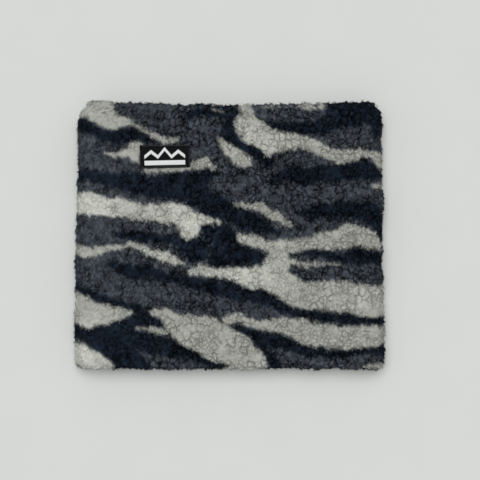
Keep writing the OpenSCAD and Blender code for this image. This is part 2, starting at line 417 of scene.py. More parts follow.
        # round a hem and into the tube, the print runs back as its own mirror image
        edge = self.half_l - 2
        y = np.sign(v) * (edge - np.abs(np.abs(v) - edge))
        return x, y + 46 * drift - PRINT_STEP * smoothstep(0.8, 1, behind)


def shares(depths, edges):
    """How far in the light and the dark print each place is, from 0 to 1: from its depths,
    and half the width of the soft edge that each has."""
    return [smoothstep(-edge, edge, depth) for depth, edge in zip(depths, edges)]


def stroke_depth(x, y, strokes):
    """How far inside the nearest stroke each place is; less than 0 outside them all."""
    depth = np.full(x.shape, -99.0)
    for stroke in strokes:
        for (x0, y0, w0), (x1, y1, w1) in zip(stroke, stroke[1:]):
            dx, dy = x1 - x0, y1 - y0
            t = np.clip(((x - x0) * dx + (y - y0) * dy) / (dx * dx + dy * dy), 0, 1)
            far = np.hypot(x - x0 - t * dx, y - y0 - t * dy)
            depth = np.maximum(depth, w0 + (w1 - w0) * t - far)
    return depth


class Print:
    """The print's strokes, drawn once on a 1 mm grid and read between its points."""

    def __init__(self):
        ticks = np.arange(-PRINT_REACH, PRINT_REACH + 1.0)
        gx, gy = np.meshgrid(ticks, ticks)
        self.light = stroke_depth(gx, gy, LIGHT_STROKES)
        self.dark = stroke_depth(gx, gy, DARK_STROKES)

    def read(self, grid, x, y):
        """Values from a grid at places between its points."""
        i = np.clip(y + PRINT_REACH, 0, 2 * PRINT_REACH - 0.01)
        j = np.clip(x + PRINT_REACH, 0, 2 * PRINT_REACH - 0.01)
        i0, j0 = i.astype(int), j.astype(int)
        fi, fj = i - i0, j - j0
        low = grid[i0, j0] * (1 - fj) + grid[i0, j0 + 1] * fj
        high = grid[i0 + 1, j0] * (1 - fj) + grid[i0 + 1, j0 + 1] * fj
        return low * (1 - fi) + high * fi

    def depths(self, x, y):
        """Depths in the light and the dark strokes, with the pile's ragged edges."""
        slant = x + 0.35 * y
        ragged = 1.4 * noise(slant / 3.1, y / 5.5, 41) + 1.0 * noise(slant / 1.2, y / 2.4, 42)
        wx = x + 2.0 * noise(x / 14, y / 14, 43)
        wy = y + 2.0 * noise(x / 14, y / 14, 44)
        return self.read(self.light, wx, wy) + ragged, self.read(self.dark, wx, wy) + 1.2 * ragged


# ---------------------------------------------------------------- meshes and pieces


def quick_mesh(name, points, faces):
    """A mesh object from points in mm and faces that all have the same number of corners."""
    mesh = bpy.data.meshes.new(name)
    count, corners = faces.shape
    mesh.vertices.add(len(points))
    mesh.vertices.foreach_set("co", (points * MM).astype(np.float32).ravel())
    mesh.loops.add(count * corners)
    mesh.loops.foreach_set("vertex_index", faces.astype(np.int32).ravel())
    mesh.polygons.add(count)
    mesh.polygons.foreach_set("loop_start", np.arange(count, dtype=np.int32) * corners)
    mesh.update(calc_edges=True)
    piece = bpy.data.objects.new(name, mesh)
    bpy.context.scene.collection.objects.link(piece)
    return piece


def paint(piece, colours):
    """Gives a mesh a colour for each of its points, the print's with any painted shade, in the
    attribute named print.
    """
    data = piece.data.color_attributes.new("print", "FLOAT_COLOR", "POINT")
    whole = np.ones((len(colours), 4), np.float32)
    whole[:, :3] = colours
    data.data.foreach_set("color", whole.ravel())


def map_points(piece, places):
    """Gives a mesh a UV map, from a place in the unit square for each of its points."""
    corners = np.zeros(len(piece.data.loops), np.int32)
    piece.data.loops.foreach_get("vertex_index", corners)
    layer = piece.data.uv_layers.new(name="OFBake")
    layer.data.foreach_set("uv", places[corners].astype(np.float32).ravel())


def grid_faces(rows, columns):
    """A face between each four points of a grid that is numbered row by row."""
    at = np.arange(rows * columns).reshape(rows, columns)
    return np.stack([at[:-1, :-1], at[:-1, 1:], at[1:, 1:], at[1:, :-1]], -1).reshape(-1, 4)


def grid_piece(name, points):
    """A smooth sheet through a grid of points, with an even UV map."""
    rows, columns = points.shape[:2]
    piece = quick_mesh(name, points.reshape(-1, 3), grid_faces(rows, columns))
    across, along = np.meshgrid(np.linspace(0, 1, columns), np.linspace(0, 1, rows))
    map_points(piece, np.stack([across, along], -1).reshape(-1, 2))
    piece.data.shade_smooth()
    return piece


def finish_piece(piece, material, node):
    """Gives a piece its finish, hangs it on the root body, and hides the CAD node that it stands in
    for.
    """
    piece.data.materials.clear()
    piece.data.materials.append(material)
    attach(piece, "root")
    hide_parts(node)


def start_fresh():
    """Leaves edit mode and selects nothing, so that an operator acts only on what is new."""
    if bpy.context.object and bpy.context.object.mode != "OBJECT":
        bpy.ops.object.mode_set(mode="OBJECT")
    bpy.ops.object.select_all(action="DESELECT")


def pick(*pieces):
    """Selects pieces and nothing else, with the first one active."""
    start_fresh()
    for piece in pieces:
        piece.select_set(True)
    bpy.context.view_layer.objects.active = pieces[0]


def settle(piece, name):
    """Names a piece modelled with operators, and moves its place into its mesh."""
    pick(piece)
    bpy.ops.object.transform_apply(location=True, rotation=True, scale=True)
    piece.name = piece.data.name = name


def apply_modifier(piece, kind, **values):
    """Adds a modifier, sets it up and applies it to the mesh."""
    pick(piece)
    modifier = piece.modifiers.new(kind.title(), kind)
    for key, value in values.items():
        setattr(modifier, key, value)
    bpy.ops.object.modifier_apply(modifier=modifier.name)


# ---------------------------------------------------------------- materials


def add_node(tree, kind, inputs=None, **values):
    """Adds a node, sets it up, and sets or links its inputs."""
    made = tree.nodes.new(kind)
    for key, value in values.items():
        setattr(made, key, value)
    for key, value in (inputs or {}).items():
        if isinstance(value, bpy.types.NodeSocket):
            tree.links.new(value, made.inputs[key])
        else:
            made.inputs[key].default_value = value
    return made


def new_material(name, constants, textures, colour=None, shades=(0.9, 1.1), depth_mm=0.0):
    """A material with one Principled shader and its constants. Its colour runs between two shades as
    its pattern does, which is the mean of its textures, and its surface rises with the pattern by
    depth_mm. Without a colour of its own it takes the mesh's print attribute: the print with its
    painted shade."""
    material = bpy.data.materials.new(name)
    material.use_nodes = True
    tree = material.node_tree
    tree.nodes.clear()
    shader = add_node(tree, "ShaderNodeBsdfPrincipled", constants)
    add_node(tree, "ShaderNodeOutputMaterial", {"Surface": shader.outputs["BSDF"]})
    place = add_node(tree, "ShaderNodeTexCoord").outputs["Object"]
    found = [
        add_node(tree, kind, {"Vector": place, **inputs}, **values).outputs["Fac"]
        for kind, inputs, values in textures
    ]
    pattern = found[0]
    if len(found) == 2:
        both = add_node(tree, "ShaderNodeMath", {0: found[0], 1: found[1]}, operation="ADD")
        half = add_node(
            tree, "ShaderNodeMath", {0: both.outputs["Value"], 1: 0.5}, operation="MULTIPLY"
        )
        pattern = half.outputs["Value"]
    if colour is None:
        base = add_node(tree, "ShaderNodeAttribute", attribute_name="print").outputs["Color"]
    else:
        base = tuple(colour)
    span = {"From Min": 0.25, "From Max": 0.75, "To Min": shades[0], "To Max": shades[1]}
    shade = add_node(tree, "ShaderNodeMapRange", {"Value": pattern, **span}).outputs["Result"]
    varied = add_node(tree, "ShaderNodeVectorMath", {0: base, 1: shade}, operation="MULTIPLY")
    tree.links.new(varied.outputs["Vector"], shader.inputs["Base Color"])
    if depth_mm:
        relief = add_node(tree, "ShaderNodeBump", {"Height": pattern, "Distance": depth_mm * MM})
        tree.links.new(relief.outputs["Normal"], shader.inputs["Normal"])
    return material


def lumps(size_mm, detail=3.0):
    """The settings of a noise texture whose lumps are size_mm across."""
    inputs = {"Scale": 1 / (size_mm * MM), "Detail": detail, "Roughness": 0.6}
    return ("ShaderNodeTexNoise", inputs, {})


def pile_material():
    """Printed polyester pile, curled into nubs. Fine curled fibre scatters light, so it
    has next to no shine; the print is on the fibre itself. Small locks of curled fibre
    are about 0.7 mm across."""
    constants = {"Roughness": 0.95, "Specular IOR Level": 0.06}
    return new_material("Printed polyester pile", constants, [lumps(0.7)], depth_mm=0.3)


def fibre_material(name):
    """Loose ends of the pile's polyester fibre, the same printed stuff, a little silkier."""
    constants = {"Roughness": 0.8, "Specular IOR Level": 0.1}
    return new_material(name, constants, [lumps(0.4)])


def lining_material(colour):
    """Brushed polyester fleece: a short even nap, quite matt, with pills 1.6 mm across."""
    constants = {"Roughness": 0.95, "Specular IOR Level": 0.2, "Sheen Weight": 0.25}
    nap = lumps(1.6, detail=5.0)
    return new_material("Brushed fleece", constants, [nap], colour, (0.7, 1.35), 0.5)


def thread_material(colour):
    """Spun polyester sewing thread: two plies twisted together, with a soft shine. Along
    the thread the twist comes every 2.2 mm, coarser than the real one, so that it shows."""
    constants = {"Roughness": 0.55, "Sheen Weight": 0.1}
    twist = (
        "ShaderNodeTexWave",
        {"Scale": 1 / (3.5 * MM), "Distortion": 1.5},
        {"bands_direction": "DIAGONAL"},
    )
    return new_material("Spun polyester thread", constants, [twist], colour, (0.7, 1.25), 0.15)


def weave_material(name, colour, thread_mm, roughness, depth_mm):
    """Tightly woven polyester yarn: rows of small ribs that cross each other. A wave
    texture has a rib every 0.314 / Scale, so its scale follows from the yarn's width. The
    yarn is drawn two or three times as wide as the real one, so that the weave shows."""
    constants = {"Roughness": roughness, "Specular IOR Level": 0.1}
    inputs = {"Scale": 0.314 / (thread_mm * MM), "Distortion": 0.4}
    ribs = [("ShaderNodeTexWave", inputs, {"bands_direction": way}) for way in ("X", "Y")]
    return new_material(name, constants, ribs, colour, (0.75, 1.2), depth_mm)


def floor_material(colour):
    """Matt painted board: hardly any shine, and faint clouds of tone 60 mm across."""
    constants = {"Roughness": 0.85, "Specular IOR Level": 0.2}
    clouds = lumps(60, detail=2.0)
    return new_material("Matt painted board", constants, [clouds], colour, (0.99, 1.01))


# ---------------------------------------------------------------- what a user can set


def length(name, description, default_mm, low_mm=0.0, high_mm=1000.0):
    """A length that a user can set, given here in mm and kept in metres."""
    return bpy.props.FloatProperty(
        name=name,
        description=description,
        default=default_mm * MM,
        min=low_mm * MM,
        max=high_mm * MM,
        precision=5,
        subtype="DISTANCE",
        unit="LENGTH",
    )


def colour(name, description, hex_text):
    """A colour that a user can set, given here as sRGB hex and kept linear."""
    return bpy.props.FloatVectorProperty(
        name=name,
        description=description,
        default=linear(hex_text),
        min=0.0,
        max=1.0,
        size=3,
        subtype="COLOR",
    )


class GaiterBody(bpy.types.PropertyGroup):
    upper_width: length("Upper width", "Width across the upper hem, to the roots of the pile", 273.5)
    lower_width: length("Lower width", "Width across the lower hem, to the roots of the pile", 280.5)
    wall: length("Wall", "Thickness of a hem, twice the radius that it rolls to", 8, 4, 12)
    hem_depth: length("Hem depth", "How far the panel runs on inside the tube", 8, 4, 20)
    sag: length("Sag", "How far the upper wall sinks between the rolled sides", 1.8, 0, 4)
    upper_dip: length("Upper dip", "How far the upper hem dips in its middle", 3.6, 0, 8)
    seam_turn: bpy.props.FloatProperty(
        name="Seam turn",
        description="How far round the left side the seam lies, in degrees from the top",
        default=47,
        min=10,
        max=120,
    )


class GaiterPile(bpy.types.PropertyGroup):
    nub: length("Nub", "Distance from one nub of the pile to the next", 4.5, 3, 9)
    relief: length("Relief", "Height of the nubs over the cracks between them", 1.9, 0.5, 4)
    front_step: length("Front step", "Distance between the mesh's points on the front", 0.65)
    back_step: length("Back step", "Distance between the mesh's points on the back", 0.93)
    fibre_length: length("Fibre length", "Usual length of a loose fibre end", 1.9, 1, 6)
    fibre_width: length("Fibre width", "Width of a fibre end, drawn as a small lock", 0.28)
    fibres: bpy.props.IntProperty(
        name="Fibres", description="How many fibre ends are tried", default=230000, min=0
    )
    light: colour("Light", "Light grey of the print", "#C6C7BF")
    mid: colour("Mid", "Middle grey of the print", "#43484F")
    dark: colour("Dark", "Dark blue of the print", "#18202B")


class GaiterTrim(bpy.types.PropertyGroup):
    thread: length("Thread", "Diameter of the sewing thread", 0.7, 0.3, 1.5)
    pitch: length("Stitch", "Distance from one stitch to the next", 4, 2, 8)
    patch_width: length("Patch width", "Width of the woven patch", 46, 20, 80)
    patch_height: length("Patch height", "Height of the woven patch", 21, 10, 40)
    patch_thick: length("Patch thickness", "Thickness of the woven patch", 1.6, 0.5, 3)
    patch_turn: bpy.props.FloatProperty(
        name="Patch turn", description="Turn of the patch, in degrees", default=1.2
    )
    lining_colour: colour("Lining", "Colour of the lining", "#2A2E38")
    thread_colour: colour("Thread colour", "Colour of the sewing thread", "#1C2028")
    patch_colour: colour("Patch", "Ground of the woven patch", "#08090C")
    mark_colour: colour("Marks", "Raised marks on the patch", "#EEF0F0")
    tape_colour: colour("Tape", "Satin tape of the care tab", "#ECEAE4")


class GaiterStage(bpy.types.PropertyGroup):
    view_width: length("View width", "Width that the camera takes in", 437, 200, 2000)
    camera_height: length("Camera height", "Height of the camera over the floor", 1100, 300, 5000)
    floor_colour: colour("Floor", "Colour of the floor", "#DADCDA")
    key: bpy.props.FloatProperty(
        name="Key", description="Strength of the soft light from past the upper hem", default=1.9, min=0
    )
    fill: bpy.props.FloatProperty(
        name="Fill", description="Strength of the even light all round", default=0.38, min=0
    )


def settings(context):
    """The scene's four groups of sizes and colours."""
    scene = context.scene
    return scene.gaiter_body, scene.gaiter_pile, scene.gaiter_trim, scene.gaiter_stage


# ---------------------------------------------------------------- the pile fleece shell


# Places where the pile is brushed smooth and painted paler, with less painted shade than curly pile
# gets from its own curls: across, along, reach across and along, and how much.
BRUSHED_LESS_PAINTED_SHADE = (
    (-35, 2, 45, 32, 0.38),
    (0, -34, 45, 22, 0.34),
    (-125, 28, 40, 22, 0.32),
    (-133, -112, 22, 25, 0.34),
    (28, 92, 28, 18, 0.2),
    (122, -58, 30, 18, 0.1),
)


def pile_colours(pile, in_light, in_dark, u, v, height, own):
    """The colour of the pile at each place, from how far in the light and the dark print it is, from 0
    to 1, with painted shade. Each crack gets painted shade, as little light reaches its bottom, and
    pale pile passes some light on, so its painted shade is lighter. Curly pile gets painted shade from
    its own curls, so brushed pile is painted paler than curly pile."""
    light, mid, dark = (np.array(c) for c in (pile.light, pile.mid, pile.dark))
    # painted shade: the colour darkens into each crack, as little light reaches its bottom
    painted_light_reached = smoothstep(0.1, 1.12, height)
    grain = 0.7 * noise(u / 1.2, v / 1.6, 51) + 0.4 * noise(u / 3, v / 3.4, 52) + own - 0.5
    patchy = noise(u / 17, v / 11, 53)
    # painted shade: brushed pile is painted paler, curly pile darker as its own curls shade it
    brushed = 0 * u
    for place_u, place_v, reach_u, reach_v, amount in BRUSHED_LESS_PAINTED_SHADE:
        far = ((u - place_u) / reach_u) ** 2 + ((v - place_v) / reach_v) ** 2
        brushed = np.maximum(brushed, amount * np.exp(-far))
    # painted shade from the cracks and, less where brushed, from curly pile, times the pile's random
    # tone
    light_print_shade_and_tone = (0.6 + 0.46 * painted_light_reached) * (1 + 0.1 * grain + 0.04 * patchy) * (0.745 + brushed)
    deep_print_shade_and_tone = (0.12 + 1.0 * painted_light_reached) * (1 + 0.6 * grain + 0.14 * patchy) * (0.9 + 0.4 * brushed)
    in_light, in_dark = in_light[..., None], in_dark[..., None]
    deep = (mid * (1 - in_dark) + dark * in_dark) * deep_print_shade_and_tone[..., None]
    return np.clip(deep * (1 - in_light) + light * in_light * light_print_shade_and_tone[..., None], *COLOUR_RANGE)


class GAITER_OT_pile(bpy.types.Operator):
    """Makes the printed pile fleece panel, sewn into a tube and turned in at both hems"""

    bl_idname = "gaiter.pile"
    bl_label = "Pile fleece shell"

    def panel(self, name, u_low, u_high, step, material, pile):
        """One piece of the panel, from u_low to u_high round the tube."""
        columns = round((u_high - u_low) / step) + 1
        rows = round(2 * self.tube.end_v / step) + 1
        u, v = np.meshgrid(
            np.linspace(u_low, u_high, columns),
            np.linspace(-self.tube.end_v, self.tube.end_v, rows),
        )
        points, _, height, own = self.tube.surface(u, v)
        piece = grid_piece(name, points)
        x, y = self.tube.print_place(u, v)
        in_light, in_dark = shares(self.print.depths(x, y), CLOTH_EDGES)
        colours = pile_colours(pile, in_light, in_dark, self.tube.unrolled(u), v, height, own)
        paint(piece, colours.reshape(-1, 3))
        finish_piece(piece, material, "outer_shell")
        # the mesh goes on past each piece's edge, so its normals are taken from there too
        near = 0.5 * step
        east, west = self.tube.surface(u + near, v)[0], self.tube.surface(u - near, v)[0]
        north, south = self.tube.surface(u, v + near)[0], self.tube.surface(u, v - near)[0]
        normals = unit(np.cross(east - west, north - south))
        piece.data.normals_split_custom_set_from_vertices(normals.reshape(-1, 3))

    def execute(self, context):
        body, pile, _, _ = settings(context)
        self.tube, self.print = Tube(body, pile), Print()
        material = pile_material()
        # the front's two pieces run from the side seam to 3 mm past the right side
        seam, right = self.tube.seam_u, self.tube.round / 4 + 3
        fine, coarse = pile.front_step / MM, pile.back_step / MM
        middle = (seam + right) / 2
        self.panel("pile_front_left", seam, middle, fine, material, pile)
        self.panel("pile_front_right", middle, right, fine, material, pile)
        self.panel("pile_back", right, seam + self.tube.round, coarse, material, pile)
        return {"FINISHED"}


# A fibre end is a flat curled blade of seven points, in pairs that end in a tip: how far along it each
# pair is and its share of the full width, then its faces, and each point's painted shade, darker at the
# root that the pile shades and lighter at the tip, and its place in the blade's own cell of the UV map.
BLADE_PAIRS = ((0.0, 0.8), (0.35, 1.0), (0.7, 0.75), (1.0, 0.0))
BLADE_FACES = np.array([[0, 3, 1], [0, 2, 3], [2, 5, 3], [2, 4, 5], [4, 6, 5]])
# painted shade along each blade, from its shaded root to its tip
BLADE_PAINTED_SHADE = np.array([0.85, 0.85, 0.97, 0.97, 1.03, 1.03, 1.08])
BLADE_CELL = np.array(
    [[0.2, 0.2], [0.8, 0.2], [0.2, 0.45], [0.8, 0.45], [0.3, 0.65], [0.7, 0.65], [0.5, 0.8]]
)


class GAITER_OT_fibres(bpy.types.Operator):
    """Stands short curled fibre ends on the pile, in a piece for each colour of the print"""

    bl_idname = "gaiter.fibres"
    bl_label = "Pile fibre ends"

    def roots(self, tube, count, draw):
        """Places on the panel where fibres stand: most on nubs, few where none is seen."""
        u = draw.uniform(-tube.round / 2, tube.round / 2, count)
        v = draw.uniform(-tube.end_v, tube.end_v, count)
        _, height, _ = tube.pile(u, v)
        _, normals = tube.base(u, v, 0 * u)
        _, turned, _ = tube.along(v)
        wanted = 0.04 + 0.96 * smoothstep(0.4, 0.95, height)
        wanted = wanted * np.where(normals[:, 2] < -0.5, 0.25, 0.62 + 0.38 * (normals[:, 2] < 0.7))
        wanted = wanted * np.where(turned > 2.4, 0.4, 1)
        half_w, half_h = PATCH_HALF
        on_patch = (np.abs(u - tube.patch_x) < half_w) & (np.abs(v - tube.patch_y) < half_h)
        keep = (draw.random(count) < wanted) & ~on_patch
        return u[keep], v[keep]

    def blades(self, tube, pile, u, v, start, normal, own, draw):
        """The points of each fibre end that stands at start, and the way its sides face."""
        count = len(u)
        ahead = unit(tube.base(u + 0.5, v, 0 * u)[0] - tube.base(u - 0.5, v, 0 * u)[0])
        aside = np.cross(normal, ahead)
        # each nub's fibres swirl their own way; near the seam they are brushed one way
        brushed = smoothstep(-30, -110, np.minimum(u, 0)) * (np.abs(u) < tube.round / 4)
        swirl = 2 * math.pi * own * 3 + draw.normal(0, 0.7, count)
        combed = math.radians(-118) + draw.normal(0, 0.35, count)
        turn = np.where(draw.random(count) < 0.15 + 0.6 * brushed, combed, swirl)
        lean = np.cos(turn)[:, None] * ahead + np.sin(turn)[:, None] * aside
        # those on the outline are longer and stand up more
        outline = smoothstep(0.75, 0.3, np.abs(normal[:, 2]))
        long = pile.fibre_length / MM * (0.6 + 0.8 * draw.random(count)) * (1 + 0.5 * outline)
        rise = 0.2 + 0.3 * draw.random(count) + 1.0 * (draw.random(count) > 0.97)
        rise = rise + 0.9 * outline * draw.random(count)
        wide = pile.fibre_width / MM * (0.75 + 0.5 * draw.random(count))
        tilt = draw.normal(0, 0.5, count)
        curl = draw.normal(0, 0.45, count)
        sideways = np.cross(normal, lean)
        flat = np.cos(tilt)[:, None] * sideways + np.sin(tilt)[:, None] * normal
        points, normals = [], []
        for t, share in BLADE_PAIRS:
            middle = start + normal * (rise * math.sin(2.3 * t) - 0.15)[:, None]
            middle = middle + lean * (0.8 * long * t)[:, None]
            middle = middle + sideways * (curl * long * t * t)[:, None]
            for side in (-1, 1) if share else (0,):
                points.append(middle + flat * (side * share * wide / 2)[:, None])
                normals.append(normal + 0.55 * side * sideways + (0.5 * t - 0.1) * lean)
        points = np.stack(points, 1)
        points[..., 2] = np.maximum(points[..., 2], FLOOR_GAP)
        return points, np.stack(normals, 1)

    def one_colour(self, name, points, normals, colours):
        """A piece with all the fibre ends of one colour of the print."""
        total = len(points)
        faces = np.arange(total)[:, None, None] * len(BLADE_PAINTED_SHADE) + BLADE_FACES[None]
        piece = quick_mesh("pile_fibres_" + name, points.reshape(-1, 3), faces.reshape(-1, 3))
        # painted shade: each fibre end darkens towards its root
        shaded_colours = colours[:, None] * BLADE_PAINTED_SHADE[None, :, None]
        paint(piece, np.clip(shaded_colours, *COLOUR_RANGE).reshape(-1, 3))
        side = math.ceil(math.sqrt(total))
        cell = np.stack([np.arange(total) % side, np.arange(total) // side], -1)[:, None]
        map_points(piece, ((cell + BLADE_CELL) / side).reshape(-1, 2))
        piece.data.shade_smooth()
        piece.data.normals_split_custom_set_from_vertices(unit(normals.reshape(-1, 3)))
        material = fibre_material("Polyester fibre ends, " + name)
        finish_piece(piece, material, "outer_shell")

    def execute(self, context):
        body, pile, _, _ = settings(context)
        tube, drawn = Tube(body, pile), Print()
        draw = np.random.default_rng(5)
        u, v = self.roots(tube, pile.fibres, draw)
        start, normal, height, own = tube.surface(u, v)
        points, normals = self.blades(tube, pile, u, v, start, normal, own, draw)
        x, y = tube.print_place(u, v)
        x, y = x + draw.normal(0, 0.7, len(u)), y + draw.normal(0, 1.3, len(u))
        light_depth, dark_depth = drawn.depths(x, y)
        in_light, in_dark = shares((light_depth, dark_depth), FIBRE_EDGES)
        colours = pile_colours(pile, in_light, in_dark, tube.unrolled(u), v, height, own)
        colours = colours * (1 + 0.07 * draw.normal(0, 1, len(u)))[:, None]
        kind = np.where(light_depth > 0, 0, np.where(dark_depth > 0, 2, 1))
        for index, name in enumerate(("light", "mid", "dark")):
            chosen = np.flatnonzero(kind == index)
            self.one_colour(name, points[chosen], normals[chosen], colours[chosen])
        return {"FINISHED"}


# ---------------------------------------------------------------- lining and threads


class GAITER_OT_lining(bpy.types.Operator):
    """Makes the brushed fleece lining, a plain tube between the two turned hems"""

    bl_idname = "gaiter.lining"
    bl_label = "Lining"

    def execute(self, context):
        body, pile, trim, _ = settings(context)
        tube = Tube(body, pile)
        step = 2.4  # distance between the mesh's points
        end = tube.straight - tube.lip + 3  # it runs 3 mm on behind the turned lips
        columns, rows = round(tube.round / step), round(2 * end / step)
        u = np.linspace(-tube.round / 2, tube.round / 2, columns, endpoint=False)
        u, v = np.meshgrid(u, np.linspace(-end, end, rows))
        # under the lips it lies behind their pile
        under = smoothstep(end - 4, end - 1.5, np.abs(v))
        depth = tube.roll - LINING_LEVEL - 0.9 * under + 0.25 * noise(u / 3.3, v / 3.3, 61)
        points, _ = tube.base(u, v, -depth)
        piece = grid_piece("lining_tube", points)
        self.close_round(piece, rows, columns)
        apply_modifier(piece, "SOLIDIFY", thickness=LINING_THICK * MM, offset=1.0)
        piece.data.shade_smooth()
        finish_piece(piece, lining_material(trim.lining_colour), "lining")
        return {"FINISHED"}

    def close_round(self, piece, rows, columns):
        """Joins the last column of points to the first, so that the tube is closed."""
        pick(piece)
        bpy.ops.object.mode_set(mode="EDIT")
        bpy.ops.mesh.select_mode(type="EDGE")
        bpy.ops.mesh.select_all(action="DESELECT")
        bpy.ops.object.mode_set(mode="OBJECT")
        # the edges that run along the first and the last column
        side = {0, columns - 1}
        for edge in piece.data.edges:
            a, b = (i % columns for i in edge.vertices)
            edge.select = a == b and a in side
        bpy.ops.object.mode_set(mode="EDIT")
        bpy.ops.mesh.bridge_edge_loops()
        bpy.ops.object.mode_set(mode="OBJECT")


def one_stitch(thread_mm, long_mm):
    """One stitch lying along X: a short round thread, its ends dipping into the cloth."""
    start_fresh()
    bpy.ops.mesh.primitive_cylinder_add(
        vertices=8,
        radius=thread_mm * MM / 2,
        depth=long_mm * MM,
        rotation=(0, math.pi / 2, 0),
    )
    stitch = bpy.context.object
    bpy.ops.object.transform_apply(location=False, rotation=True, scale=True)
    bpy.ops.object.mode_set(mode="EDIT")
    bpy.ops.mesh.select_all(action="SELECT")
    bpy.ops.mesh.bisect(plane_co=(0, 0, 0), plane_no=(1, 0, 0))
    for place in (-0.3, 0.3):
        bpy.ops.mesh.select_all(action="SELECT")
        bpy.ops.mesh.bisect(plane_co=(place * long_mm * MM, 0, 0), plane_no=(1, 0, 0))
    bpy.ops.object.mode_set(mode="OBJECT")
    half = long_mm * MM / 2
    for vertex in stitch.data.vertices:
        far = abs(vertex.co.x) / half
        narrow = 1 - 0.45 * far**4
        vertex.co.y *= narrow
        vertex.co.z = vertex.co.z * narrow - 0.45 * thread_mm * MM * far**3
    points = np.array([v.co for v in stitch.data.vertices]) / MM
    faces = [tuple(p.vertices) for p in stitch.data.polygons]
    bpy.data.objects.remove(stitch)
    return points, faces


def sew(name, places, ahead, outward, trim, material, node):
    """A row of stitches: a copy of one stitch at each place, turned to lie along the row."""
    points, faces = one_stitch(trim.thread / MM, trim.pitch / MM * 0.8)
    ahead = unit(ahead)
    outward = unit(outward - (outward * ahead).sum(1, keepdims=True) * ahead)
    across = np.cross(outward, ahead)
    axes = np.stack([ahead, across, outward], 1)
    row = (places[:, None] + points[None] @ axes).reshape(-1, 3)
    shift = len(points)
    whole = [tuple(i + k * shift for i in face) for k in range(len(places)) for face in faces]
    mesh = bpy.data.meshes.new(name)
    mesh.from_pydata((row * MM).tolist(), [], whole)
    piece = bpy.data.objects.new(name, mesh)
    bpy.context.scene.collection.objects.link(piece)
    piece.data.shade_smooth()
    finish_piece(piece, material, node)


class GAITER_OT_threads(bpy.types.Operator):
    """Sews the two side seams and the two hems, stitch by stitch"""

    bl_idname = "gaiter.threads"
    bl_label = "Sewing threads"

    def row(self, tube, u, v, lift, trim, material, name, node, along_u):
        """Stitches at places on the panel that lie in a row."""
        places, outward = tube.base(u, v, lift)
        step = 0.5
        du, dv = (step, 0.0) if along_u else (0.0, step)
        ahead = tube.base(u + du, v + dv, lift)[0] - tube.base(u - du, v - dv, lift)[0]
        sew(name, places, ahead, outward, trim, material, node)

    def execute(self, context):
        body, pile, trim, _ = settings(context)
        tube = Tube(body, pile)
        material = thread_material(trim.thread_colour)
        pitch = trim.pitch / MM
        v = np.arange(-tube.straight, tube.straight, pitch)
        seam = np.full(len(v), tube.seam_u) + 0.4 * noise(v / 14, 0 * v, 28)
        # the outer seam is pulled deep into the pile
        self.row(tube, seam, v, 0 * v - OUTER_SEAM_SUNK, trim, material,
                 "outer_seam_stitches", "outer_seam_thread", False)
        inner = np.arange(-tube.straight + 12, tube.straight - 12, pitch)
        # the lining's seam lies underneath, 8 mm in from the rolled left side
        left = np.full(len(inner), tube.flat - 8 - tube.round / 2)
        self.row(tube, left, inner, 0 * inner - (tube.roll - LINING_SEAM_LEVEL), trim, material,
                 "lining_seam_stitches", "lining_seam_thread", False)
        u = np.arange(-tube.round / 2, tube.round / 2, pitch)
        for end, name, node in (
            (1, "upper_hem_stitches", "top_hem_thread"),
            (-1, "lower_hem_stitches", "bottom_hem_thread"),
        ):
            v = np.full(len(u), end * (tube.straight - tube.lip))
            sunk = 0 * u - (tube.roll - HEM_LEVEL)
            self.row(tube, u, v, sunk, trim, material, name, node, True)
        return {"FINISHED"}


# ---------------------------------------------------------------- patch and care tab


def select_edges(piece, wanted):
    """Selects the edges for which wanted(end, end) is true, and leaves edit mode on."""
    bpy.ops.object.mode_set(mode="EDIT")
    bpy.ops.mesh.select_mode(type="EDGE")
    bpy.ops.mesh.select_all(action="DESELECT")
    bpy.ops.object.mode_set(mode="OBJECT")
    points = piece.data.vertices
    for edge in piece.data.edges:
        edge.select = wanted(*(points[i].co for i in edge.vertices))
    bpy.ops.object.mode_set(mode="EDIT")


def block(size, centre):
    """A cube at its real size, with its scale applied; sizes in mm."""
    start_fresh()
    bpy.ops.mesh.primitive_cube_add(size=1, location=[c * MM for c in centre])
    made = bpy.context.object
    made.scale = [s * MM for s in size]
    bpy.ops.object.transform_apply(location=False, rotation=False, scale=True)
    return made


def round_top(piece, top, radius, segments):
    """Rounds the edges that lie at the height top, in mm."""
    select_edges(piece, lambda a, b: min(a.z, b.z) > (top - 0.02) * MM)
    bpy.ops.mesh.bevel(offset=radius * MM, segments=segments, affect="EDGES")
    bpy.ops.object.mode_set(mode="OBJECT")


